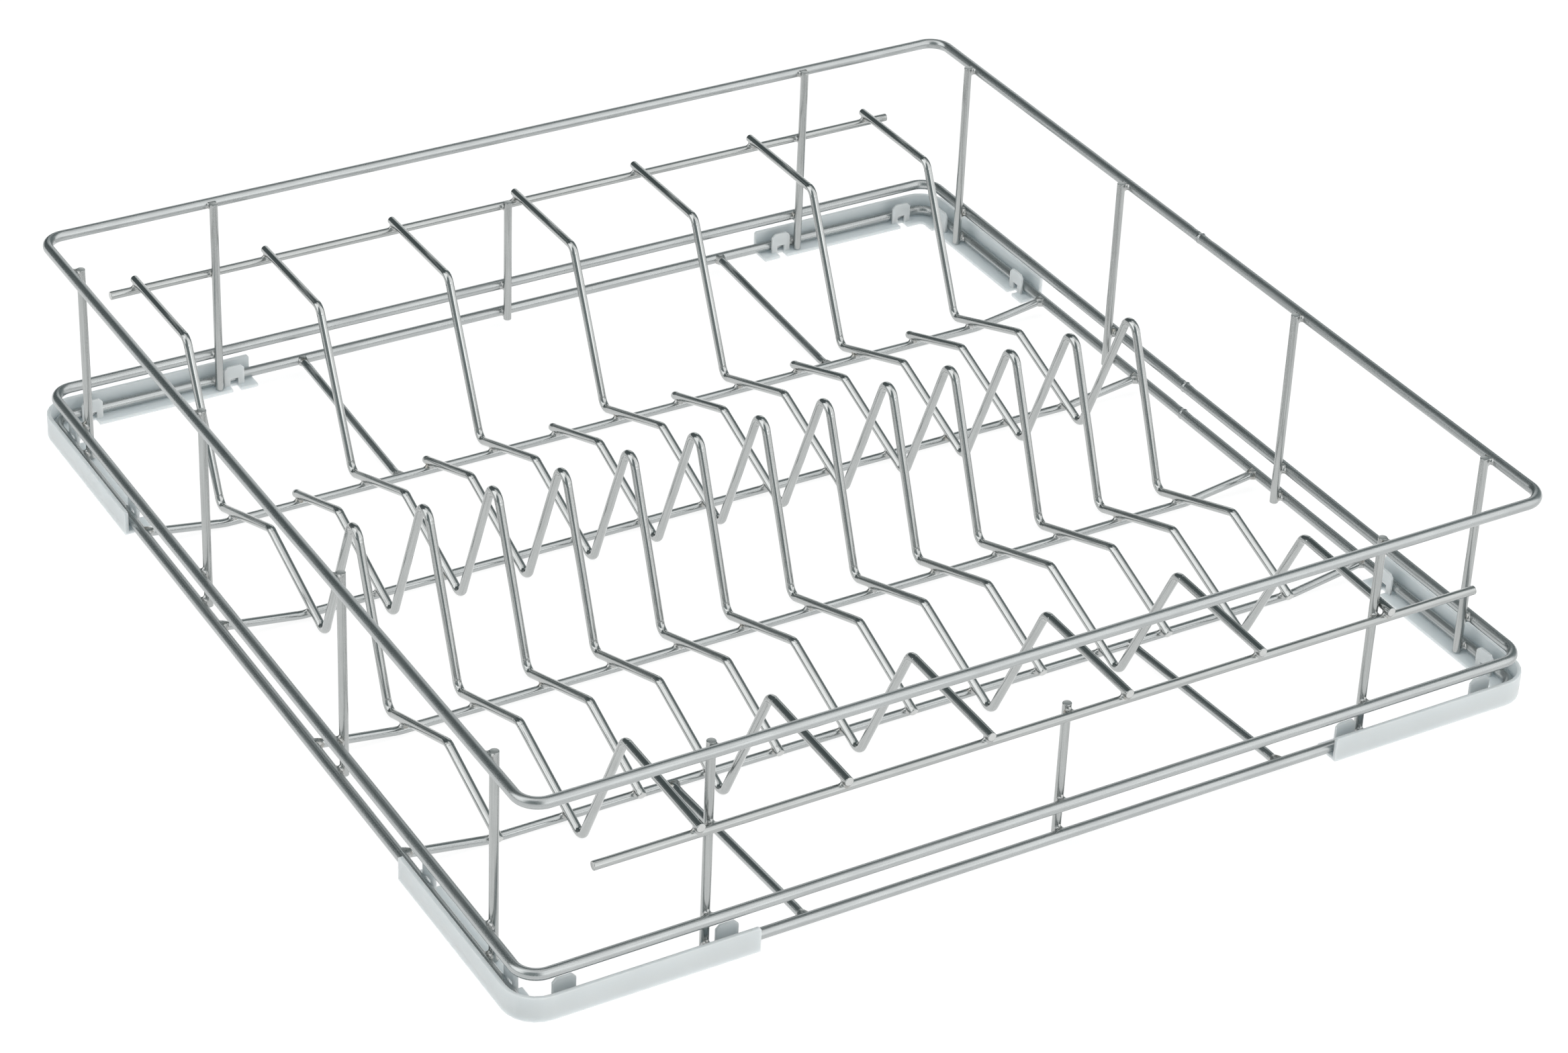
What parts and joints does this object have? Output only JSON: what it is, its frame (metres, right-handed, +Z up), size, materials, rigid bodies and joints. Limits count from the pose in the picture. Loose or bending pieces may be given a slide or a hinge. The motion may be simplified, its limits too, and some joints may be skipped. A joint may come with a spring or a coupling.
{
  "type": "dish drying rack",
  "caption": "Square stainless wire drying rack with two base rings, a raised rim, bent plate wires and clip-on plastic corner guards.",
  "frame": {"origin": "centre of the rack on the level of its lowest wires", "axes": "+Z up, +Y towards the back side, along the plate wires, +X to the right, along the row of plates"},
  "size_m": [0.5004, 0.5054, 0.1076],
  "materials": {
    "ring_steel": "bright drawn stainless wire, satin",
    "post_steel": "bright drawn stainless wire, satin, cut square at the ends",
    "bar_steel": "bright drawn stainless wire, satin",
    "plate_wire_steel": "bright drawn stainless wire, satin, with small bright marks at the bends",
    "guard_plastic": "milky, slightly translucent satin plastic"
  },
  "bodies": {
    "root": {"lower_base_ring": "ring_steel", "upper_base_ring": "ring_steel", "rim_ring": "ring_steel", "left_post_1": "post_steel", "left_post_2": "post_steel", "left_post_3": "post_steel", "left_post_4": "post_steel", "right_post_1": "post_steel", "right_post_2": "post_steel", "right_post_3": "post_steel", "right_post_4": "post_steel", "front_post_left": "post_steel", "front_post_right": "post_steel", "back_post_left": "post_steel", "back_post_right": "post_steel", "front_short_post": "post_steel", "back_short_post": "post_steel", "front_rail": "post_steel", "back_rail": "post_steel", "cross_bar_back": "bar_steel", "cross_bar_mid_back": "bar_steel", "cross_bar_mid_front": "bar_steel", "cross_bar_front": "bar_steel", "back_stub_left": "bar_steel", "back_stub_right": "bar_steel", "front_stub_left": "bar_steel", "front_stub_right": "bar_steel", "back_plate_wire_1": "plate_wire_steel", "back_plate_wire_2": "plate_wire_steel", "back_plate_wire_3": "plate_wire_steel", "back_plate_wire_4": "plate_wire_steel", "back_plate_wire_5": "plate_wire_steel", "back_plate_wire_6": "plate_wire_steel", "back_plate_wire_7": "plate_wire_steel", "front_plate_wire_1": "plate_wire_steel", "front_plate_wire_2": "plate_wire_steel", "front_plate_wire_3": "plate_wire_steel", "front_plate_wire_4": "plate_wire_steel", "front_plate_wire_5": "plate_wire_steel", "front_plate_wire_6": "plate_wire_steel", "corner_guard_front_left": "guard_plastic", "corner_guard_front_right": "guard_plastic", "corner_guard_back_left": "guard_plastic", "corner_guard_back_right": "guard_plastic"}
  },
  "joints": []
}
